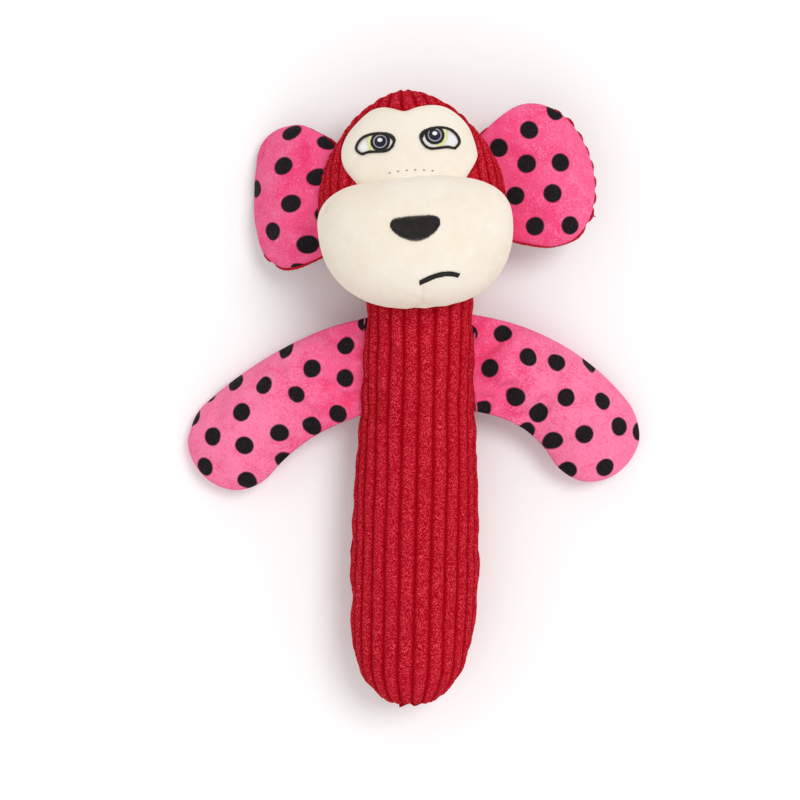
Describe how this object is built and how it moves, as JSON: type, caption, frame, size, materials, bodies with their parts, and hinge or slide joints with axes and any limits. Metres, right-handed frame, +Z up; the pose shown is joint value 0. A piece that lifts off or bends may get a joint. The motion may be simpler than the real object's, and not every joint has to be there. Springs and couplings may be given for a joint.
{
  "type": "squeaky dog toy",
  "caption": "Stuffed plush monkey dog toy with a club-shaped corduroy body, floppy ears and arms, an embroidered face and a squeaker in its belly.",
  "frame": {"origin": "point on the flattened back of the torso, straight under the squeaker, with the toy lying on its back", "axes": "+X to the viewer's right, +Y along the torso towards the head, +Z up out of the face"},
  "size_m": [0.1904, 0.2589, 0.0844],
  "materials": {
    "corduroy_red": "matte ribbed corduroy",
    "minky_pink": "short-pile minky with printed black dots",
    "minky_cream": "short-pile minky",
    "fibre_fill": "loose polyester fibre",
    "thread_black": "satin embroidery thread",
    "thread_white": "satin embroidery thread",
    "thread_red": "sewing thread",
    "thread_pink": "sewing thread",
    "squeaker_plastic": "moulded polyethylene",
    "squeaker_vinyl": "soft blown vinyl",
    "reed_film": "polyester film"
  },
  "bodies": {
    "torso": {"torso_front_panel": "corduroy_red", "torso_back_panel": "corduroy_red", "torso_stuffing": "fibre_fill", "closing_stitch": "thread_red", "squeaker_base": "squeaker_plastic", "squeaker_bellows": "squeaker_vinyl", "reed_barrel": "squeaker_plastic", "reed_shallot": "squeaker_plastic", "left_arm_seam_thread": "thread_pink", "right_arm_seam_thread": "thread_pink"},
    "squeaker_press": {"squeaker_cap": "squeaker_plastic", "squeaker_pad": "fibre_fill"},
    "reed": {"reed": "reed_film"},
    "neck_gather": {"neck_gather_thread": "thread_red"},
    "neck_seam": {"neck_seam_thread": "thread_red"},
    "head": {"head_front_panel": "corduroy_red", "head_back_panel": "corduroy_red", "face_patch": "minky_cream", "head_stuffing": "fibre_fill", "muzzle_cover": "minky_cream", "muzzle_stuffing": "fibre_fill", "nose": "thread_black", "mouth_stitch": "thread_black", "left_eye_outline": "thread_black", "left_eye_white": "thread_white", "left_eye_iris": "thread_black", "right_eye_outline": "thread_black", "right_eye_white": "thread_white", "right_eye_iris": "thread_black", "left_ear_seam_thread": "thread_red", "right_ear_seam_thread": "thread_red"},
    "left_ear": {"left_ear_front_panel": "minky_pink", "left_ear_back_panel": "corduroy_red", "left_ear_stuffing": "fibre_fill"},
    "right_ear": {"right_ear_front_panel": "minky_pink", "right_ear_back_panel": "corduroy_red", "right_ear_stuffing": "fibre_fill"},
    "left_arm": {"left_arm_front_panel": "minky_pink", "left_arm_back_panel": "minky_pink", "left_arm_stuffing": "fibre_fill"},
    "right_arm": {"right_arm_front_panel": "minky_pink", "right_arm_back_panel": "minky_pink", "right_arm_stuffing": "fibre_fill"}
  },
  "joints": [
    {"name": "head_turn", "type": "hinge", "parent": "torso", "child": "neck_gather", "pos_m": [0, 0.0855, 0.0225], "axis": [0, 1, 0], "range_deg": [-25, 25], "stiffness_Nm_per_rad": 0.08},
    {"name": "head_tilt", "type": "hinge", "parent": "neck_gather", "child": "neck_seam", "pos_m": [0, 0.0855, 0.0225], "axis": [0, 0, 1], "range_deg": [-12, 12], "stiffness_Nm_per_rad": 0.1},
    {"name": "head_nod", "type": "hinge", "parent": "neck_seam", "child": "head", "pos_m": [0, 0.0855, 0.0225], "axis": [0.9957, 0.0924, 0], "range_deg": [-20, 8], "stiffness_Nm_per_rad": 0.1},
    {"name": "left_ear_flap", "type": "hinge", "parent": "head", "child": "left_ear", "pos_m": [-0.04323, 0.1307, 0.0305], "axis": [0.1247, 0.9922, 0], "range_deg": [-5, 75], "stiffness_Nm_per_rad": 0.02},
    {"name": "right_ear_flap", "type": "hinge", "parent": "head", "child": "right_ear", "pos_m": [0.03418, 0.13788, 0.0305], "axis": [-0.3051, 0.9523, 0], "range_deg": [-45, 35], "stiffness_Nm_per_rad": 0.02},
    {"name": "left_arm_flap", "type": "hinge", "parent": "torso", "child": "left_arm", "pos_m": [-0.02376, 0.0607, 0.0225], "axis": [0.0453, 0.999, 0], "range_deg": [-38, 67], "stiffness_Nm_per_rad": 0.01},
    {"name": "right_arm_flap", "type": "hinge", "parent": "torso", "child": "right_arm", "pos_m": [0.02376, 0.0607, 0.0225], "axis": [-0.0453, 0.999, 0], "range_deg": [-67, 38], "stiffness_Nm_per_rad": 0.01},
    {"name": "squeaker_squeeze", "type": "slide", "parent": "torso", "child": "squeaker_press", "axis": [0, 0, -1], "range_m": [0, 0.008], "stiffness_N_per_m": 300, "deforming": ["squeaker_bellows"]},
    {"name": "reed_flutter", "type": "hinge", "parent": "torso", "child": "reed", "pos_m": [0, -0.00026, 0.0098], "axis": [1, 0, 0], "range_deg": [-3, 4], "stiffness_Nm_per_rad": 0.0002}
  ]
}
